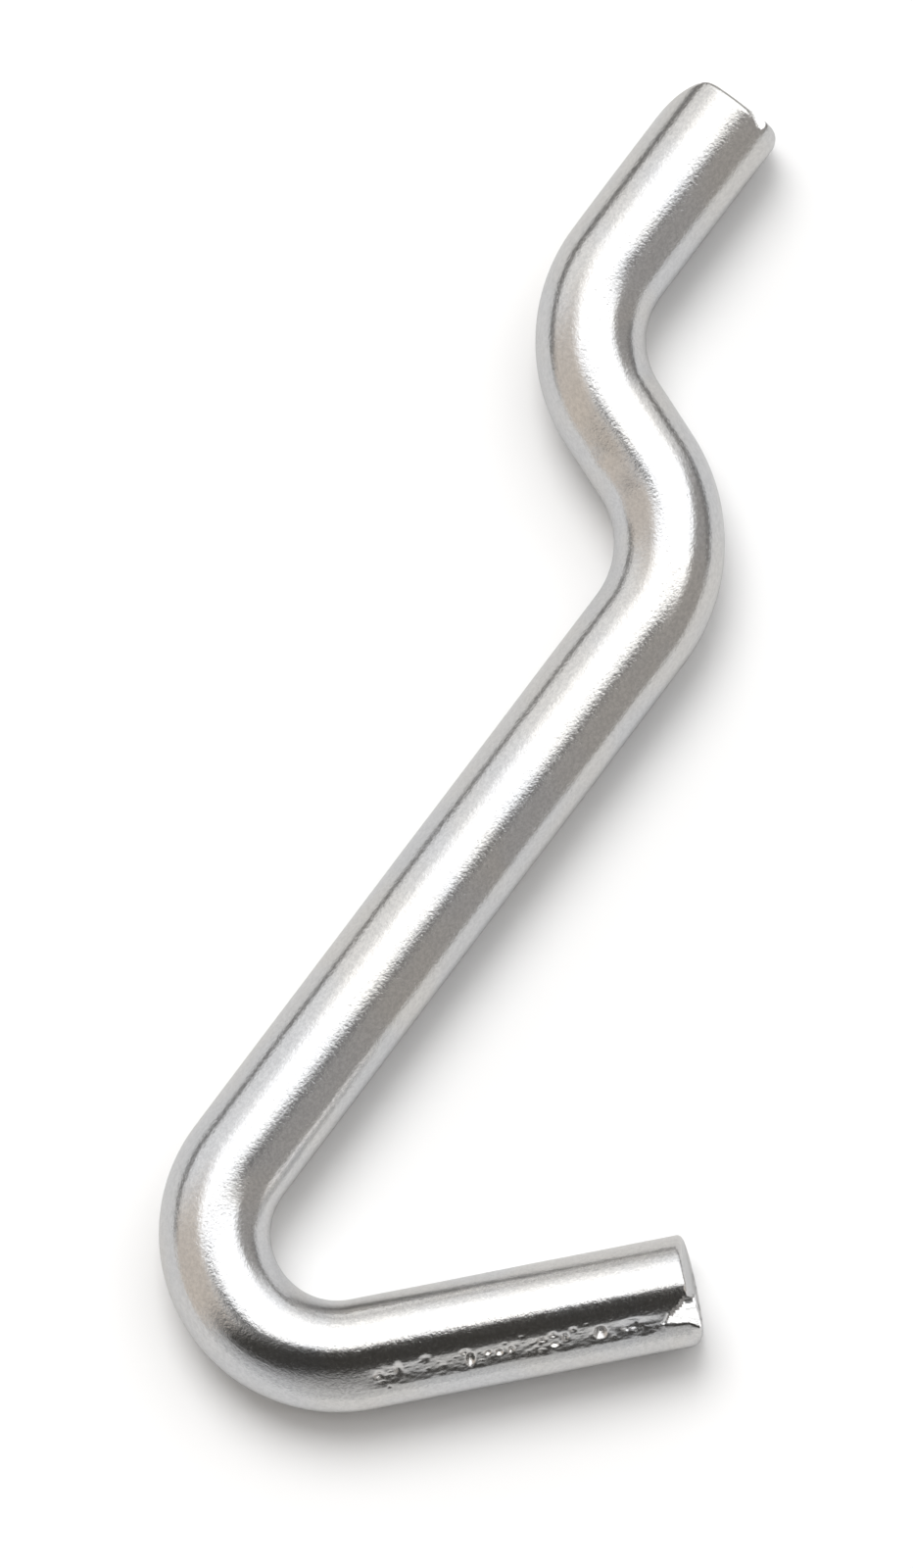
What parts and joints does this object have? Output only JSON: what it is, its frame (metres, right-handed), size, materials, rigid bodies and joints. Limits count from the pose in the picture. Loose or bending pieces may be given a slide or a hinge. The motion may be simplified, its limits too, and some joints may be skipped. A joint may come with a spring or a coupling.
{
  "type": "pegboard hook",
  "caption": "Bent wire hook for a perforated wall board: a stepped tang grips behind the board and an upswept prong holds what hangs on it.",
  "frame": {"origin": "middle of the hook's outline, on the surface it lies on", "axes": "the hook lies on its side: +Y runs up the shank as hung, +X is the front of the board with the prong, -X is behind the board with the tang, +Z is up from the surface it lies on. To hang it, turn it so that +Y is up."},
  "size_m": [0.0218, 0.0374, 0.0032],
  "materials": {
    "plated_steel": "bright zinc or nickel plate over cold drawn steel wire, satin with a fine grain"
  },
  "bodies": {
    "root": {"wire_hook": "plated_steel"}
  },
  "joints": []
}
